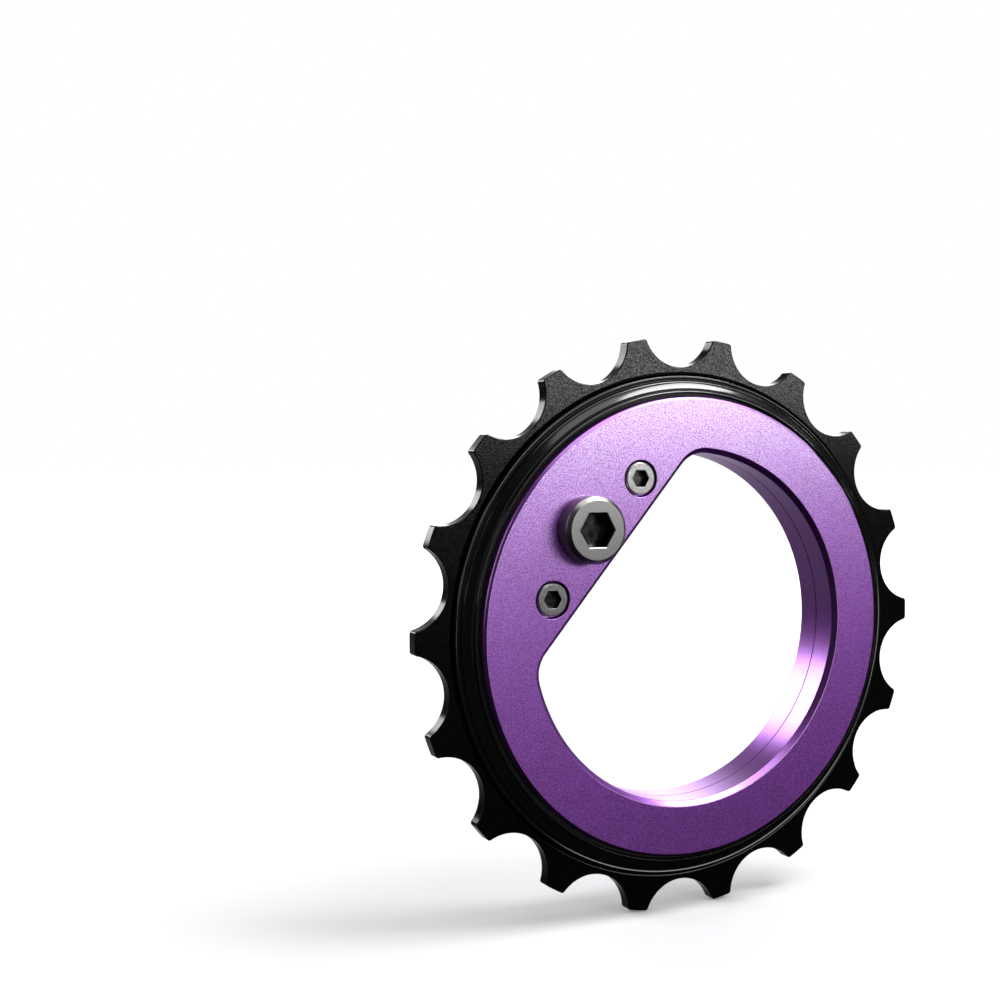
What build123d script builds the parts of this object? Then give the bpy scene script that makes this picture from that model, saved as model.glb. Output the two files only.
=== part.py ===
from build123d import *
from math import asin, cos, degrees, pi, radians, sin, tan
import os

# Hollow jockey wheel for a rear derailleur, in millimetres.
# The wheel turns about Y through the origin, its front face looks to -Y and +Z is up.
# Radial sizes run from the chain inwards, and axial sizes from the hub's faces to the middle plane.

# Chain and teeth
chain_pitch = 12.7
roller_diameter = 7.75
tooth_count = 18
tooth_height = 3.8
tooth_tip_width = 2.8
tooth_thickness = 1.8
first_tooth_angle = 80.4        # of one tooth's middle, anticlockwise from +X seen from the front
tooth_ring_wall = 1.1           # metal left under a tooth gap
tooth_ring_chamfer = 0.4        # on both edges of the bore

# Bearing, a single row of balls with four-point contact
outer_race_wall = 2.9           # from the raceway's deepest line to the seat of the tooth ring
outer_race_land = 2.8           # width of the cylindrical seat
outer_race_setback = 0.8        # of its edges behind the hub's faces
ball_diameter = 2.0
ball_count = 16
contact_angle = 20              # slope of the raceway's flanks, in degrees
inner_race_wall = 2.55          # from the hub's barrel to the raceway's deepest line
cage_rail = 0.4                 # closed edge of the cage, behind the pockets
cage_finger = 0.9               # reach of the cage's fingers past the balls' middle

# Hub, two halves that meet on the middle plane
hub_width = 7.6
hub_barrel_wall = 2.0
flange_thickness = 1.45
flange_overlap = 0.85           # of the flange over the outer race's raceway edge
flange_edge_chamfer = 0.3
opening_chamfer = 0.6
boss_angle = 139.8              # of the boss, anticlockwise from +X seen from the front
boss_height = 7.7               # of the flat above the bore circle
opening_corner_radius = 4.0

# Axle bolt, with a plain shoulder through the hub and a thread behind it
axle_shoulder_diameter = 6.0
axle_thread_diameter = 5.0
axle_thread_length = 6.0
axle_inset = 2.2                # of the bolt's axis inside the bore circle
axle_head_diameter = 8.2
axle_head_height = 2.6
axle_head_chamfer = 0.5
axle_socket_width = 4.0         # across flats
axle_socket_depth = 1.9
axle_tip_chamfer = 0.6

# Screws that hold the hub's halves together
screw_diameter = 2.5
screw_inset = 4.0               # of the screws' axes inside the bore circle, along the boss
screw_spread = 9.4              # of each screw to the side of the axle bolt
screw_head_diameter = 4.2
screw_head_height = 1.5
screw_chamfer = 0.2             # on the head and on the tip
screw_socket_width = 2.0        # across flats
screw_socket_depth = 1.0
screw_tip_setback = 0.5         # of the screw's end inside the rear face

# Clearances
seat_clearance = 0.01           # radial, pressed seats
thread_clearance = 0.03         # radial, screw in its thread
shank_clearance = 0.05          # radial, bolt or screw in a plain hole
screw_head_clearance = 0.2      # radial, head in its counterbore
ball_clearance = 0.01           # ball to each raceway flank
pocket_clearance = 0.1          # ball to its pocket
cage_clearance = 0.15           # cage to each race, radial
flange_gap = 0.6                # flange to the outer race, radial and axial

# Radii from the chain inwards
pitch_radius = chain_pitch / (2 * sin(pi / tooth_count))
root_radius = pitch_radius - roller_diameter / 2
tip_radius = root_radius + tooth_height
outer_race_radius = root_radius - tooth_ring_wall
outer_raceway_radius = outer_race_radius - outer_race_wall
raceway_depth = 2 * (ball_diameter / 2 + ball_clearance) / cos(radians(contact_angle))
inner_raceway_radius = outer_raceway_radius - raceway_depth
barrel_radius = inner_raceway_radius - inner_race_wall
bore_radius = barrel_radius - hub_barrel_wall

# Half widths, from the middle plane
hub_face = hub_width / 2
flange_underside = hub_face - flange_thickness
outer_race_edge = hub_face - outer_race_setback
recess_floor = flange_underside - flange_gap
land_edge = outer_race_land / 2
tooth_face = tooth_thickness / 2


def outer_flank(y):
    """Radius of the outer race's flank at a distance from the middle plane."""
    return outer_raceway_radius - y * tan(radians(contact_angle))


def inner_flank(y):
    """Radius of the inner race's flank at a distance from the middle plane."""
    return inner_raceway_radius + y * tan(radians(contact_angle))


# Radii of the flange and of the outer race's recess round it
flange_radius = outer_flank(recess_floor) + flange_overlap
recess_radius = flange_radius + flange_gap

# Boss: distances from the wheel's centre along its middle line, and the hole for the axle bolt
boss_flat = bore_radius - boss_height
axle_offset = bore_radius - axle_inset
axle_hole_radius = axle_shoulder_diameter / 2 + shank_clearance
screw_offset = bore_radius - screw_inset

# Screws: their places across the boss, one on each side of the axle bolt
screw_places = {"lower": screw_spread, "upper": -screw_spread}


def turned(points):
    """A solid of revolution about Y from its section's (radius, y) points."""
    section = make_face(Polyline([(r, y) for r, y in points], close=True))
    return revolve(section, Axis.Y)


def drilled(along, across, radius, start, end):
    """A round bar along Y at a place in the boss, to cut as a hole."""
    middle = Rot(0, 0, boss_angle) * Pos(along, across)
    disc = Plane.XZ * middle * Circle(radius)
    return Pos(0, end, 0) * extrude(disc, end - start)


def bolt(head_radius, head_height, head_chamfer, shank, tip_chamfer, socket_width, socket_depth):
    """A hex socket bolt along Z from its head's underside; shank holds each stretch's radius and end."""
    outline = [(0, -head_height), (head_radius - head_chamfer, -head_height)]
    outline += [(head_radius, head_chamfer - head_height), (head_radius, 0)]
    start = 0
    for radius, end in shank:
        outline += [(radius, start), (radius, end)]
        start = end
    outline[-1] = (radius, end - tip_chamfer)
    outline += [(radius - tip_chamfer, end), (0, end)]
    section = Plane.XZ * make_face(Polyline(outline, close=True))
    hexagon = RegularPolygon(socket_width / 2, 6, major_radius=False)
    socket = Pos(0, 0, -head_height) * extrude(hexagon, socket_depth)
    return revolve(section, Axis.Z) - socket


def placed(along, across, y):
    """The place of a bolt's head seat in the boss, with the bolt pointing to +Y."""
    angle = radians(boss_angle)
    x = along * cos(angle) - across * sin(angle)
    z = along * sin(angle) + across * cos(angle)
    return Plane((x, y, z), x_dir=(1, 0, 0), z_dir=(0, 1, 0))


def tooth_ring():
    """Ring with short flat-topped teeth; each gap is one arc from tooth to tooth."""
    tip_half_angle = degrees(asin(tooth_tip_width / 2 / tip_radius))
    gap_half_angle = 180 / tooth_count - tip_half_angle
    corner_x = tip_radius * cos(radians(gap_half_angle))
    corner_y = tip_radius * sin(radians(gap_half_angle))
    gap_depth = corner_x - root_radius
    gap_radius = (corner_y**2 + gap_depth**2) / (2 * gap_depth)
    blank = Circle(tip_radius)
    gap = Pos(root_radius + gap_radius, 0) * Circle(gap_radius)
    half_pitch = 180 / tooth_count
    gaps = [Rot(0, 0, first_tooth_angle + half_pitch * (2 * i + 1)) * gap for i in range(tooth_count)]
    outline = blank - gaps
    bore = outer_race_radius + seat_clearance
    ring = extrude(Plane.XZ * (outline - Circle(bore)), tooth_face, both=True)
    circles = ring.edges().filter_by(GeomType.CIRCLE)
    bore_edges = circles.filter_by(lambda e: abs(e.radius - bore) < seat_clearance)
    return chamfer(bore_edges, tooth_ring_chamfer)


def bearing_outer_race():
    """Ring with tapered outer shoulders, a recess for each flange and the outer raceway's two flanks."""
    rear = [
        (outer_raceway_radius, 0),
        (outer_flank(recess_floor), recess_floor),
        (recess_radius, recess_floor),
        (recess_radius, outer_race_edge),
        (outer_race_radius, land_edge),
    ]
    front = [(r, -y) for r, y in reversed(rear[1:])]
    return turned(rear + front)


def bearing_inner_race():
    """Ring clamped between the flanges, with the inner raceway's two flanks."""
    bore = barrel_radius + seat_clearance
    edge = inner_flank(flange_underside)
    return turned([
        (bore, -flange_underside),
        (edge, -flange_underside),
        (inner_raceway_radius, 0),
        (edge, flange_underside),
        (bore, flange_underside),
    ])


def ball_cage():
    """Crown cage: a rail with fingers, and a pocket open to the front for each ball."""
    pocket_half = ball_diameter / 2 + pocket_clearance
    back = pocket_half + cage_rail
    inner = inner_flank(back) + cage_clearance
    outer = outer_flank(back) - cage_clearance
    ring = turned([(inner, -cage_finger), (outer, -cage_finger), (outer, back), (inner, back)])
    pocket_depth = pocket_half + cage_finger
    slot = Pos(pocket_half - pocket_depth / 2, 0) * Rectangle(pocket_depth, 2 * pocket_half)
    pocket = extrude(Plane.YZ * slot, outer_race_radius)
    pockets = [Rot(0, 360 / ball_count * i, 0) * pocket for i in range(ball_count)]
    return ring - pockets


def hub_blank():
    """Front half of the hub before its bolt holes: flange, barrel and boss round the D-shaped opening."""
    body = turned([
        (0, 0),
        (barrel_radius, 0),
        (barrel_radius, -flange_underside),
        (flange_radius, -flange_underside),
        (flange_radius, flange_edge_chamfer - hub_face),
        (flange_radius - flange_edge_chamfer, -hub_face),
        (0, -hub_face),
    ])
    beyond_flat = Pos(boss_flat + bore_radius, 0) * Rectangle(2 * bore_radius, 2 * bore_radius)
    opening = Circle(bore_radius) - beyond_flat
    opening = Rot(0, 0, boss_angle) * fillet(opening.vertices(), opening_corner_radius)
    body -= extrude(Plane.XZ * opening, hub_width, both=True)
    rim_edges = body.edges().group_by(Axis.Y)[0]
    outer_edge = rim_edges.sort_by(SortBy.LENGTH)[-1]
    return chamfer([e for e in rim_edges if e != outer_edge], opening_chamfer)


def hub_front():
    """Front half, with a counterbore for each screw's head."""
    half = hub_blank() - drilled(axle_offset, 0, axle_hole_radius, -hub_face, 0)
    seat = screw_head_height - hub_face
    head_hole_radius = screw_head_diameter / 2 + screw_head_clearance
    shank_hole_radius = screw_diameter / 2 + shank_clearance
    for across in screw_places.values():
        half -= drilled(screw_offset, across, head_hole_radius, -hub_face, seat)
        half -= drilled(screw_offset, across, shank_hole_radius, seat, 0)
    return half


def hub_rear():
    """Rear half, with a threaded hole for each screw."""
    half = mirror(hub_blank(), Plane.XZ) - drilled(axle_offset, 0, axle_hole_radius, 0, hub_face)
    thread_radius = screw_diameter / 2 + thread_clearance
    for across in screw_places.values():
        half -= drilled(screw_offset, across, thread_radius, 0, hub_face)
    return half


def axle_bolt():
    """Shoulder bolt that fixes the wheel, with its head at the front and its free thread at the rear."""
    shoulder = (axle_shoulder_diameter / 2, hub_width)
    thread = (axle_thread_diameter / 2, hub_width + axle_thread_length)
    shape = bolt(
        axle_head_diameter / 2,
        axle_head_height,
        axle_head_chamfer,
        [shoulder, thread],
        axle_tip_chamfer,
        axle_socket_width,
        axle_socket_depth,
    )
    return placed(axle_offset, 0, -hub_face) * shape


def hub_screw(across):
    """Screw that is flush in the front half and threaded into the rear half."""
    shank = (screw_diameter / 2, hub_width - screw_head_height - screw_tip_setback)
    shape = bolt(
        screw_head_diameter / 2,
        screw_head_height,
        screw_chamfer,
        [shank],
        screw_chamfer,
        screw_socket_width,
        screw_socket_depth,
    )
    return placed(screw_offset, across, screw_head_height - hub_face) * shape


nodes = {
    "tooth_ring": tooth_ring(),
    "bearing_outer_race": bearing_outer_race(),
    "bearing_inner_race": bearing_inner_race(),
    "ball_cage": ball_cage(),
    "hub_front": hub_front(),
    "hub_rear": hub_rear(),
    "axle_bolt": axle_bolt(),
}
for side, across in screw_places.items():
    nodes[f"{side}_hub_screw"] = hub_screw(across)

os.makedirs("parts", exist_ok=True)
for name, shape in nodes.items():
    export_step(shape, f"parts/{name}.step")
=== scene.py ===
from math import cos, radians, sin, tau

import bmesh
import bpy
from mathutils import Euler, Matrix, Vector


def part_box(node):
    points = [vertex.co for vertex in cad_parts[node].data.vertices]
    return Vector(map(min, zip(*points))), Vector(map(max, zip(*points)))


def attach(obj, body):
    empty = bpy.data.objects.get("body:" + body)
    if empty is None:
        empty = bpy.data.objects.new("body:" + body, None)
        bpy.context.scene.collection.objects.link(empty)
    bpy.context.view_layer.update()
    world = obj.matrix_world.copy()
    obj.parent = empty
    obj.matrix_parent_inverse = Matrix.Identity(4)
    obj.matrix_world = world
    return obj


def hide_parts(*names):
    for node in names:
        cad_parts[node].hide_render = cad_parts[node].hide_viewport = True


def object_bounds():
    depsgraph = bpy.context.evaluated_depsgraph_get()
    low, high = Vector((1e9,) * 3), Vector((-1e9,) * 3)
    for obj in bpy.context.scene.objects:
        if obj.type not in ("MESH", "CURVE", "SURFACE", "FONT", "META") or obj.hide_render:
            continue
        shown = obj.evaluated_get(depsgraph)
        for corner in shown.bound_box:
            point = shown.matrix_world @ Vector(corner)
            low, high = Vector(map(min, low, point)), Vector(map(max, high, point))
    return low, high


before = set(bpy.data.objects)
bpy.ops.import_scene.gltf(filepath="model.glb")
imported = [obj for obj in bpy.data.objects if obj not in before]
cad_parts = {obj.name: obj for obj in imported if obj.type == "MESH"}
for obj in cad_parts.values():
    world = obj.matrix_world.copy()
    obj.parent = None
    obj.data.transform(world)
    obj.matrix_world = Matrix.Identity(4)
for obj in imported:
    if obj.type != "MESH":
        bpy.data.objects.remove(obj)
cad_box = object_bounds()


# Rear half of the hub: turned from aluminium, its flat faces bead blasted, then all of it anodised
# purple. The bore and the chamfers stay as smooth as the lathe left them. It carries half of the
# bearing's inner race.

class Shade:
    """An output of a material's nodes. Arithmetic on it adds Math nodes."""

    def __init__(self, tree, socket=None):
        self.tree = tree
        self.socket = socket

    def node(self, kind, settings, inputs, output=0):
        """Adds a node: first its settings, then each socket's value or link. Gives one output."""
        made = self.tree.nodes.new(kind)
        for name, value in settings.items():
            setattr(made, name, value)
        for name, value in inputs.items():
            if isinstance(value, Shade):
                self.tree.links.new(value.socket, made.inputs[name])
            else:
                made.inputs[name].default_value = value
        return Shade(self.tree, made.outputs[output])

    def maths(self, operation, *values):
        return self.node("ShaderNodeMath", {"operation": operation}, dict(enumerate(values)))

    def __add__(self, other):
        return self.maths("ADD", self, other)

    def __radd__(self, other):
        return self.maths("ADD", other, self)

    def __sub__(self, other):
        return self.maths("SUBTRACT", self, other)

    def __rsub__(self, other):
        return self.maths("SUBTRACT", other, self)

    def __mul__(self, other):
        return self.maths("MULTIPLY", self, other)

    def __rmul__(self, other):
        return self.maths("MULTIPLY", other, self)

    def __abs__(self):
        return self.maths("ABSOLUTE", self)

    def into(self, socket):
        self.tree.links.new(self.socket, socket)


def new_finish(name, constants):
    """A material with its constants set. Gives it, a Shade to add nodes with, and its sockets."""
    finish = bpy.data.materials.new(name)
    finish.use_nodes = True
    shader = finish.node_tree.nodes["Principled BSDF"]
    for socket, value in constants.items():
        shader.inputs[socket].default_value = value
    return finish, Shade(finish.node_tree), shader.inputs


def fade(shade, value, start, end, low=0.0, high=1.0, curve="LINEAR"):
    """Goes from low to high as a value goes from start to end, and stays level beyond them."""
    return shade.node("ShaderNodeMapRange", {"interpolation_type": curve}, {
        "Value": value, "From Min": start, "From Max": end, "To Min": low, "To Max": high,
    })


def grain(shade, scale, detail, spread=0.2):
    """Even grain from 0 to 1: scale in grains per metre, crisper for a smaller spread."""
    place = shade.node("ShaderNodeTexCoord", {}, {}, "Object")
    noise = shade.node("ShaderNodeTexNoise", {}, {
        "Vector": place, "Scale": scale, "Detail": detail,
    })
    return fade(shade, noise, start=0.5 - spread, end=0.5 + spread)


def between(shade, amount, low, high):
    """A colour between two, by an amount from 0 to 1."""
    factor, first, second, result = 0, 6, 7, 2  # the Mix node's sockets for colours
    ends = [colour if isinstance(colour, Shade) else (*colour, 1) for colour in (low, high)]
    return shade.node("ShaderNodeMix", {"data_type": "RGBA"}, {
        factor: amount, first: ends[0], second: ends[1],
    }, result)


def relief(shade, height, depth):
    """A bumped normal from a height of 0 to 1 that stands for a depth in metres."""
    return shade.node("ShaderNodeBump", {}, {"Height": height, "Distance": depth})


def flat_faces(shade):
    """1 on the faces square to the wheel's axis, 0 on the turned walls and chamfers."""
    facing = shade.node("ShaderNodeTexCoord", {}, {}, "Normal")
    across = shade.node("ShaderNodeSeparateXYZ", {}, {0: facing}, "Y")
    return fade(shade, abs(across), start=0.9, end=0.99)


def cad_copy(node):
    """A copy of a CAD node with its triangles joined and its flat faces whole again."""
    shape = bmesh.new()
    shape.from_mesh(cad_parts[node].data)
    bmesh.ops.remove_doubles(shape, verts=shape.verts, dist=1e-7)
    bmesh.ops.dissolve_limit(
        shape, angle_limit=radians(0.5), verts=shape.verts, edges=shape.edges
    )
    return shape


def add_piece(name, shape, body, *finishes):
    """The finished mesh as an object on its body."""
    mesh = bpy.data.meshes.new(name)
    shape.to_mesh(mesh)
    shape.free()
    for finish in finishes:
        mesh.materials.append(finish)
    mesh.shade_smooth()
    mesh.set_sharp_from_angle(angle=radians(50))
    piece = bpy.data.objects.new(name, mesh)
    bpy.context.scene.collection.objects.link(piece)
    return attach(piece, body)


def break_edges(piece, width, segments=2):
    """Rounds the corners a little, as deburring and blasting do."""
    edge = piece.modifiers.new("broken_edges", "BEVEL")
    edge.limit_method = "ANGLE"
    edge.angle_limit = radians(25)
    edge.width = width
    edge.segments = segments
    edge.profile = 0.5
    flat = piece.modifiers.new("flat_faces_kept", "WEIGHTED_NORMAL")
    flat.mode = "FACE_AREA"
    flat.weight = 100
    flat.keep_sharp = True


deep_dye = (0.212, 0.034, 0.35)
bright_dye = (0.43, 0.070, 0.705)
# The thin band round the bore where the two halves meet gets a near-black colour and no coat:
# painted shade in the seam.
seam_painted_shade = (0.01, 0.003, 0.016)
seam_dark_to = 0.00004
seam_clear_from = 0.00012
purple, shade, sockets = new_finish("purple_anodising", {
    "Metallic": 1.0,
    "Coat Roughness": 0.28,
    "Coat IOR": 3.8,
})
blasted = flat_faces(shade)
grit = grain(shade, scale=8200, detail=0, spread=0.12)
cloud = grain(shade, scale=260, detail=2)
place = shade.node("ShaderNodeTexCoord", {}, {}, "Object")
off_seam = abs(shade.node("ShaderNodeSeparateXYZ", {}, {0: place}, "Y"))
clear = fade(shade, off_seam, start=seam_dark_to, end=seam_clear_from)
dye = between(shade, 0.8 * grit + 0.2 * cloud, deep_dye, bright_dye)
between(shade, clear, seam_painted_shade, dye).into(sockets["Base Color"])
(0.34 + blasted * (0.11 + 0.07 * grit)).into(sockets["Roughness"])
(clear * (0.42 + blasted * (0.8 * grit - 0.14))).into(sockets["Coat Weight"])
relief(shade, grit * (0.1 + 0.9 * blasted), depth=0.000006).into(sockets["Normal"])

hub_edge = 0.00012
rear_half = add_piece("rear_hub_half", cad_copy("hub_rear"), "hub", purple)
break_edges(rear_half, hub_edge)
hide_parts("hub_rear")


# Inner race: a ring of hardened bearing steel, ground bright, clamped on the barrel between the
# hub's flanges. It has one ball groove round its outside and doesn't turn.

def grained_finish(name, constants, scale, detail, colours, roughness, depth=0):
    """A finish whose colour, roughness and, where a depth is given, height follow one grain."""
    finish, shade, sockets = new_finish(name, constants)
    marks = grain(shade, scale, detail)
    between(shade, marks, *colours).into(sockets["Base Color"])
    least, most = roughness
    (least + (most - least) * marks).into(sockets["Roughness"])
    if depth:
        relief(shade, marks, depth).into(sockets["Normal"])
    return finish


ground_steel = grained_finish(
    "ground_steel", {"Metallic": 1.0}, scale=900, detail=4,
    colours=((0.50, 0.50, 0.51), (0.66, 0.66, 0.67)), roughness=(0.14, 0.30),
)
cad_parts["bearing_inner_race"].material_slots[0].material = ground_steel


# Ball cage: a thin ring moulded in black polymer, with a finger between each ball and the next. It
# floats between the races and rolls round with the balls.

cage_polymer = grained_finish(
    "cage_polymer", {"IOR": 1.5}, scale=1500, detail=3,
    colours=((0.016, 0.016, 0.017), (0.03, 0.03, 0.031)), roughness=(0.45, 0.65), depth=0.00002,
)
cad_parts["ball_cage"].material_slots[0].material = cage_polymer


# Balls: sixteen 2 mm balls of the same bearing steel, lapped to a mirror. They sit in the cage's
# pockets and run in the grooves of the two races.

ball_count = 16
ball_radius = 0.001
ball_circle = 0.027618
balls = bmesh.new()
for number in range(ball_count):
    angle = number * tau / ball_count
    middle = Vector((ball_circle * cos(angle), 0, ball_circle * sin(angle)))
    bmesh.ops.create_uvsphere(
        balls, u_segments=24, v_segments=16, radius=ball_radius,
        matrix=Matrix.Translation(middle),
    )
bearing_balls = add_piece("bearing_balls", balls, "ball_set", ground_steel)


# Outer race: a steel ring, turned, hardened and blackened, that tapers on both sides from the
# recess round the flange out to its seat in the tooth ring. Its lands are polished, its turned
# grooves are dull, and the turning has left fine rings in its black skin.

def turned_ring(outline, steps):
    """A ring turned about the wheel's axis, from a closed section: radii and places along it."""
    ring = bmesh.new()
    corners = [ring.verts.new((radius, along, 0)) for radius, along in outline]
    sides = [ring.edges.new((corners[n - 1], corners[n])) for n in range(len(corners))]
    bmesh.ops.spin(
        ring, geom=corners + sides, cent=(0, 0, 0), axis=(0, 1, 0), angle=tau, steps=steps,
        use_merge=True,
    )
    bmesh.ops.recalc_face_normals(ring, faces=ring.faces)
    return ring


dull_grooves = ((0.02983, 0.00016), (0.03108, 0.00020))
groove_blur = 0.00003
rings_per_metre = 5000
black_steel, shade, sockets = new_finish("black_steel", {
    "IOR": 1.5,
    "Specular IOR Level": 0.06,
    "Coat IOR": 1.6,
    "Coat Roughness": 0.13,
})
place = shade.node("ShaderNodeTexCoord", {}, {}, "Object")
across_axis = shade.node("ShaderNodeVectorMath", {"operation": "MULTIPLY"}, {
    0: place, 1: (1, 0, 1),
})
off_axis = shade.node("ShaderNodeVectorMath", {"operation": "LENGTH"}, {0: across_axis}, "Value")
around = shade.node("ShaderNodeVectorMath", {"operation": "NORMALIZE"}, {0: across_axis})
rings = shade.node("ShaderNodeTexNoise", {"noise_dimensions": "4D"}, {
    "Vector": around, "W": off_axis * rings_per_metre, "Scale": 0.7, "Detail": 2,
})
specks = grain(shade, scale=2500, detail=2)
dull = 0
for middle, half_width in dull_grooves:
    dull = dull + fade(
        shade, abs(off_axis - middle), start=half_width - groove_blur,
        end=half_width + groove_blur, low=1.0, high=0.0,
    )
between(shade, rings, (0.001, 0.001, 0.001), (0.003, 0.003, 0.003)).into(sockets["Base Color"])
(0.30 + 0.2 * specks).into(sockets["Roughness"])
((0.55 + 0.45 * rings) * (1 - 0.92 * dull)).into(sockets["Coat Weight"])
relief(shade, 0.7 * rings + 0.3 * specks, depth=0.000003).into(sockets["Normal"])

recess_radius = 0.029506
recess_floor = 0.00175
raceway_edge = 0.028056
raceway_middle = 0.028693
race_inside = [
    (recess_radius, -recess_floor), (raceway_edge, -recess_floor), (raceway_middle, 0),
    (raceway_edge, recess_floor), (recess_radius, recess_floor),
]
taper_start = 0.003
taper_width = 0.002096
taper_fall = 0.0016
groove_depths = (
    0, 0, 0.00025, 0.00010, 0.00011, 0.00011, 0.00011, 0.00010, 0.00006, 0,
    0.00034, 0.00034, 0.00017, 0, 0,
)
race_taper = []
for number, depth in enumerate(groove_depths):
    way = number / (len(groove_depths) - 1)
    race_taper.append(
        (recess_radius + way * taper_width, taper_start - way * taper_fall - depth)
    )
front_taper = [(radius, -along) for radius, along in reversed(race_taper)]
race_edge = 0.00008
race = turned_ring(race_inside + race_taper + front_taper, steps=192)
outer_race = add_piece("outer_race", race, "wheel", black_steel)
break_edges(outer_race, race_edge)
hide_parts("bearing_outer_race")


# Seals: two black rubber rings pressed into the outer race's recesses, one on each side. Each has a
# rounded lip that stops just short of the inner race and keeps the grit out.

seal_rubber = grained_finish(
    "seal_rubber", {"IOR": 1.5}, scale=1800, detail=3,
    colours=((0.010, 0.010, 0.010), (0.022, 0.022, 0.022)), roughness=(0.55, 0.80), depth=0.00002,
)

seal_rim = 0.029496
seal_lip = 0.027458
seal_top = 0.00210
seal_edge = 0.00012
for name, side in (("front_seal", -1), ("rear_seal", 1)):
    seal = turned_ring([
        (seal_rim, side * recess_floor), (seal_rim, side * seal_top),
        (seal_lip, side * seal_top), (seal_lip, side * recess_floor),
    ], steps=128)
    ring = add_piece(name, seal, "wheel", seal_rubber)
    break_edges(ring, seal_edge)


# Tooth ring: cut from aluminium plate, bead blasted and anodised black, and pressed onto the outer
# race. Its 18 teeth are short and stubby, with the corners of their tips rounded off.

black_anodising, shade, sockets = new_finish("black_anodising", {
    "IOR": 1.5,
    "Specular IOR Level": 0.08,
    "Coat IOR": 1.5,
    "Coat Roughness": 0.16,
})
blasted = flat_faces(shade)
grit = grain(shade, scale=7500, detail=0, spread=0.12)
cloud = grain(shade, scale=300, detail=2)
between(shade, grit, (0.0005, 0.0005, 0.0005), (0.002, 0.002, 0.002)).into(sockets["Base Color"])
(0.14 + 0.04 * cloud).into(sockets["Roughness"])
(0.22 + blasted * (0.6 * grit - 0.28)).into(sockets["Coat Weight"])
relief(shade, grit * (0.2 + 0.8 * blasted), depth=0.000006).into(sockets["Normal"])

tip_radius = 0.036493
tip_slack = 0.00002
tip_rounding = 0.0003
least_span = 0.001
tooth_edge = 0.00012
teeth = cad_copy("tooth_ring")
# The corners of the tips are the sharp edges across the plate at the outer radius.
tip_corners = [
    edge for edge in teeth.edges
    if min(v.co.xz.length for v in edge.verts) > tip_radius - tip_slack
    and abs(edge.verts[0].co.y - edge.verts[1].co.y) > least_span
    and edge.calc_face_angle() > radians(30)
]
bmesh.ops.bevel(
    teeth, geom=tip_corners, offset=tip_rounding, offset_type="OFFSET", affect="EDGES",
    segments=4, profile=0.5, material=-1,
)
tooth_ring = add_piece("toothed_ring", teeth, "wheel", black_anodising)
break_edges(tooth_ring, tooth_edge)
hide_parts("tooth_ring")


# Front half of the hub: the same purple aluminium as the rear half, blasted on its face. It is
# pulled against the rear half by two small screws, so that their edges meet in a fine line round
# the bore.

front_half = add_piece("front_hub_half", cad_copy("hub_front"), "hub", purple)
break_edges(front_half, hub_edge)
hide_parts("hub_front")


# Hub screws: two small socket screws of grey steel, sunk flush into the front half, one on each
# side of the axle bolt. Each has a 2 mm hexagon socket.

screw_steel = grained_finish(
    "screw_steel", {"Metallic": 1.0}, scale=7000, detail=2,
    colours=((0.30, 0.295, 0.295), (0.37, 0.364, 0.364)), roughness=(0.26, 0.34), depth=0.000002,
)
# The darker steel for the insides of the hexagon sockets is painted shade in the hollows.
socket_painted_shade = grained_finish(
    "socket_painted_shade", {"Metallic": 1.0}, scale=1200, detail=2,
    colours=((0.09, 0.088, 0.086), (0.13, 0.127, 0.124)), roughness=(0.14, 0.22),
)


def finish_socket(shape, axis, reach, top, depth, mouth):
    """Breaks a hexagon socket's mouth and gives its inside the second finish, a darker steel as
    painted shade.
    """
    below_top = 0.00001
    below_floor = 0.0001
    rim = [
        edge for edge in shape.edges
        if all(abs(v.co.y - top) < 1e-6 and (v.co.xz - axis.xz).length < reach for v in edge.verts)
    ]
    for face in shape.faces:
        middle = face.calc_center_median()
        sunk = middle.y - top
        if (middle.xz - axis.xz).length < reach and below_top < sunk < depth + below_floor:
            face.material_index = 1
    bevelled = bmesh.ops.bevel(
        shape, geom=rim, offset=mouth, offset_type="OFFSET", affect="EDGES", segments=1,
        profile=0.5, material=-1,
    )
    for face in bevelled["faces"]:
        face.material_index = 0


screw_edge = 0.00016
for name, node in (("lower_screw", "lower_hub_screw"), ("upper_screw", "upper_hub_screw")):
    low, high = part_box(node)
    screw_shape = cad_copy(node)
    finish_socket(
        screw_shape, (low + high) / 2, reach=0.0012, top=low.y, depth=0.0010, mouth=0.00007
    )
    screw = add_piece(name, screw_shape, "hub", screw_steel, socket_painted_shade)
    break_edges(screw, screw_edge, segments=3)
    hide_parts(node)


# Axle bolt: a satin steel shoulder bolt with a low round head and a 4 mm hexagon socket. It passes
# through the hub's boss and screws into what carries the wheel with an M5 thread.

bolt_steel = grained_finish(
    "bolt_steel", {"Metallic": 1.0}, scale=7000, detail=2,
    colours=((0.255, 0.255, 0.249), (0.307, 0.307, 0.299)), roughness=(0.28, 0.34),
    depth=0.000002,
)

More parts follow.
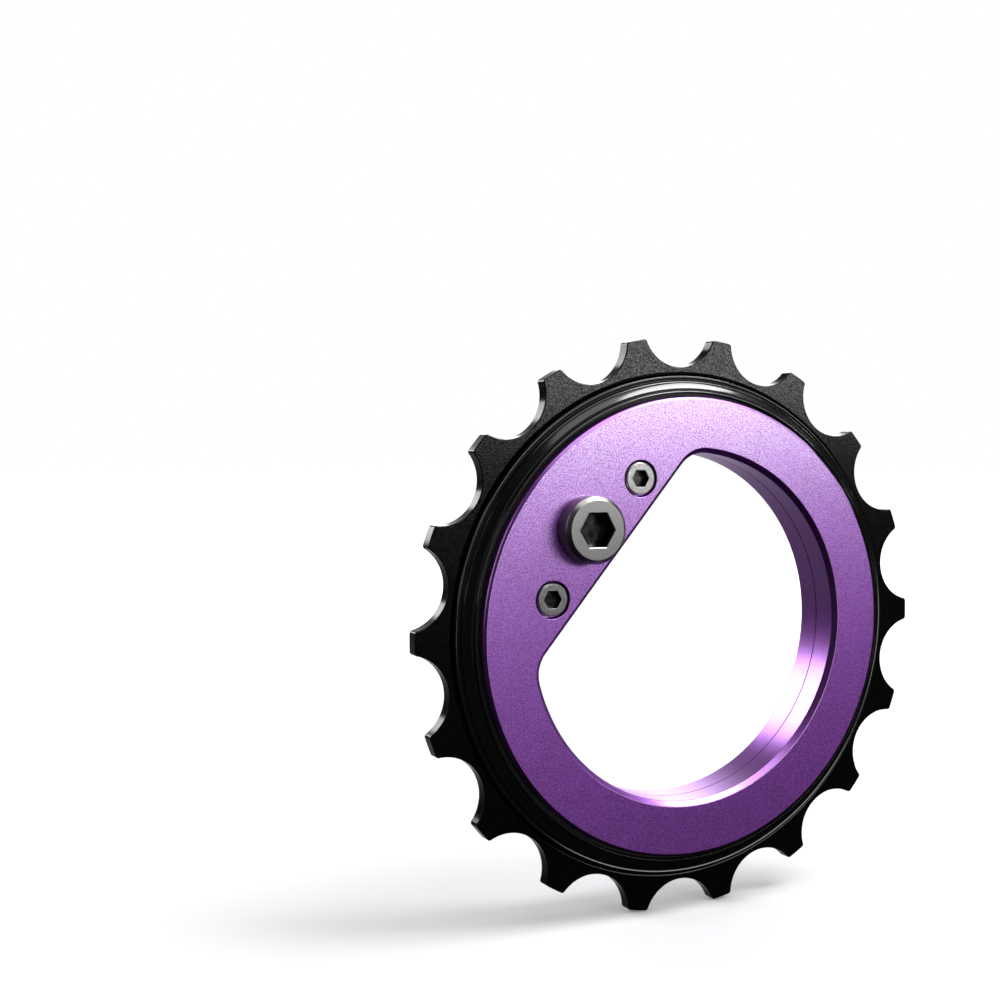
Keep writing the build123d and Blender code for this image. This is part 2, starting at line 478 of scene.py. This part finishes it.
bolt_axis = Vector((-0.015118, 0, 0.012776))
head_top = -0.0064
bolt_edge = 0.00009
thread_start = 0.0038
thread_end = 0.0098
thread_radius = 0.0025
thread_core = 0.00205
plain_start = 0.0001
run_out = 0.0002
end_narrowing = 0.9
core_length = thread_end - thread_start - plain_start - 2 * run_out
bolt = cad_copy("axle_bolt")
bmesh.ops.bisect_plane(
    bolt, geom=bolt.verts[:] + bolt.edges[:] + bolt.faces[:], dist=1e-7,
    plane_co=(0, thread_start + plain_start, 0), plane_no=(0, 1, 0), clear_outer=True,
)
rim = [edge for edge in bolt.edges if edge.is_boundary]
for narrowing, step in (
    (thread_core / thread_radius, run_out), (1, core_length), (end_narrowing, run_out),
):
    grown = bmesh.ops.extrude_edge_only(bolt, edges=rim)["geom"]
    ring_verts = [item for item in grown if isinstance(item, bmesh.types.BMVert)]
    rim = [item for item in grown if isinstance(item, bmesh.types.BMEdge)]
    bmesh.ops.scale(
        bolt, vec=(narrowing, 1, narrowing), space=Matrix.Translation(-bolt_axis),
        verts=ring_verts,
    )
    bmesh.ops.translate(bolt, vec=(0, step, 0), verts=ring_verts)
bmesh.ops.contextual_create(bolt, geom=rim)

sunk_into_core = 0.00005
thread_crest = 0.00249
thread_root = thread_core - sunk_into_core
thread_pitch = 0.0008
thread_turns = 6
steps_per_turn = 40
half_crest = 0.00005
flank_slope = 0.577  # half of a 60 degree thread
half_root = half_crest + (thread_crest - thread_root) * flank_slope
ridge_start = 0.0005
first_ridge = thread_start + ridge_start
section = [
    bolt.verts.new(bolt_axis + Vector((radius, first_ridge + along, 0)))
    for radius, along in (
        (thread_root, -half_root), (thread_crest, -half_crest),
        (thread_crest, half_crest), (thread_root, half_root),
    )
]
ridge = bmesh.ops.contextual_create(bolt, geom=section)["faces"]
bmesh.ops.spin(
    bolt, geom=section + list(ridge[0].edges) + ridge, cent=bolt_axis, axis=(0, 1, 0),
    angle=thread_turns * tau, steps=thread_turns * steps_per_turn,
    dvec=(0, thread_pitch / steps_per_turn, 0),
)
bmesh.ops.recalc_face_normals(bolt, faces=bolt.faces)
finish_socket(bolt, bolt_axis, reach=0.0024, top=head_top, depth=0.0019, mouth=0.00014)
axle_bolt = add_piece("threaded_axle_bolt", bolt, "hub", bolt_steel, socket_painted_shade)
break_edges(axle_bolt, bolt_edge, segments=3)
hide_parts("axle_bolt")


# Setting: a plain pale floor that the lowest tooth touches, soft lights in front, above, at the
# sides and behind, and a camera a hand's breadth to the left of the wheel's axis, a little above
# it. The room shows white to the camera and gives the metal darker and lighter parts to reflect.

floor_shape = bmesh.new()
bmesh.ops.create_circle(floor_shape, cap_ends=True, segments=96, radius=2.5)
bmesh.ops.translate(floor_shape, vec=(0, 0, cad_box[0][2]), verts=floor_shape.verts)
floor_mesh = bpy.data.meshes.new("floor")
floor_shape.to_mesh(floor_mesh)
floor_shape.free()
floor_finish, shade, sockets = new_finish("pale_floor", {
    "Base Color": (0.55, 0.55, 0.55, 1),
    "Roughness": 0.9,
    "Emission Strength": 1.0,
})
place = shade.node("ShaderNodeTexCoord", {}, {}, "Object")
from_wheel = shade.node("ShaderNodeVectorMath", {"operation": "LENGTH"}, {0: place}, "Value")
glow = fade(shade, from_wheel, start=0.05, end=0.5, low=0.15, curve="SMOOTHSTEP")
between(shade, glow, (0, 0, 0), (1, 1, 1)).into(sockets["Emission Color"])
floor_mesh.materials.append(floor_finish)
floor = bpy.data.objects.new("floor", floor_mesh)
bpy.context.scene.collection.objects.link(floor)
floor.visible_glossy = False
floor.visible_shadow = False

# Each light is aimed at the wheel: turned in degrees from its front towards +X, lifted above its
# axis and rolled about its own aim, with sizes in metres and power in watts.
for name, turn, lift, distance, width, height, power, roll in (
    ("front_light", 26.5, 12.9, 0.267, 0.216, 0.06, 0.265, 0),
    ("top_light", 32, 76, 0.5, 0.55, 0.5, 1.8, 0),
    ("high_right_light", 64, 60, 0.5, 0.24, 0.24, 2.6, 0),
    ("side_light", 109, 28, 0.5, 0.05, 0.45, 0.32, 27),
    ("low_front_light", 1, 1.5, 0.5, 0.05, 0.2, 0.17, 0),
    ("left_light", -100, 22, 0.5, 0.3, 0.3, 0.5, 0),
    ("back_left_light", 208, 25, 0.5, 0.25, 0.25, 1.4, 0),
    ("back_right_light", 150, 14, 0.5, 0.22, 0.2, 0.36, 0),
):
    lamp = bpy.data.lights.new(name, "AREA")
    lamp.shape = "RECTANGLE"
    lamp.size = width
    lamp.size_y = height
    lamp.energy = power
    softbox = bpy.data.objects.new(name, lamp)
    aim = Euler((radians(90 - lift), 0, radians(turn))).to_matrix()
    softbox.rotation_euler = (aim @ Matrix.Rotation(radians(roll), 3, "Z")).to_euler()
    softbox.location = aim @ Vector((0, 0, distance))
    softbox.visible_camera = False
    bpy.context.scene.collection.objects.link(softbox)

behind_wheel = (0.35, 0.94, 0)
low_behind_wheel = (-0.25, 0.8, -0.55)
room = bpy.data.worlds.new("studio")
room.use_nodes = True
bpy.context.scene.world = room
sockets = room.node_tree.nodes["Background"].inputs
shade = Shade(room.node_tree)
direction = shade.node("ShaderNodeTexCoord", {}, {}, "Generated")
upward = shade.node("ShaderNodeSeparateXYZ", {}, {0: direction}, "Z")
behind, low_behind = [
    shade.node("ShaderNodeVectorMath", {"operation": "DOT_PRODUCT"}, {
        0: direction, 1: heading,
    }, "Value")
    for heading in (behind_wheel, low_behind_wheel)
]
rise = fade(shade, upward, start=-0.8, end=0.0, low=0.2, high=0.8, curve="SMOOTHSTEP")
ceiling = fade(shade, upward, start=0.25, end=0.6, high=0.75, curve="SMOOTHSTEP")
backdrop = fade(shade, behind, start=0.70, end=0.95, low=0.02, curve="SMOOTHSTEP")
low_glow = fade(shade, low_behind, start=0.80, end=0.95, high=0.12, curve="SMOOTHSTEP")
reflected = rise * (1 - ceiling) * backdrop + low_glow
seen = shade.node("ShaderNodeLightPath", {}, {}, "Is Camera Ray")
(seen + (1 - seen) * reflected).into(sockets["Strength"])
sockets["Color"].default_value = (1, 1, 1, 1)

hub_face = Vector((0, -0.0038, 0))
camera_dip = 2.582
camera_turn = -25.662
camera_offset = Vector((-0.02421, 0.01601, 0.18818))
lens = bpy.data.cameras.new("camera")
lens.lens = 54
lens.sensor_width = 36
camera = bpy.data.objects.new("camera", lens)
camera.rotation_euler = Euler((radians(90 - camera_dip), 0, radians(camera_turn)))
camera.location = hub_face + camera.rotation_euler.to_matrix() @ camera_offset
bpy.context.scene.collection.objects.link(camera)
bpy.context.scene.camera = camera
bpy.context.scene.view_settings.view_transform = "Standard"
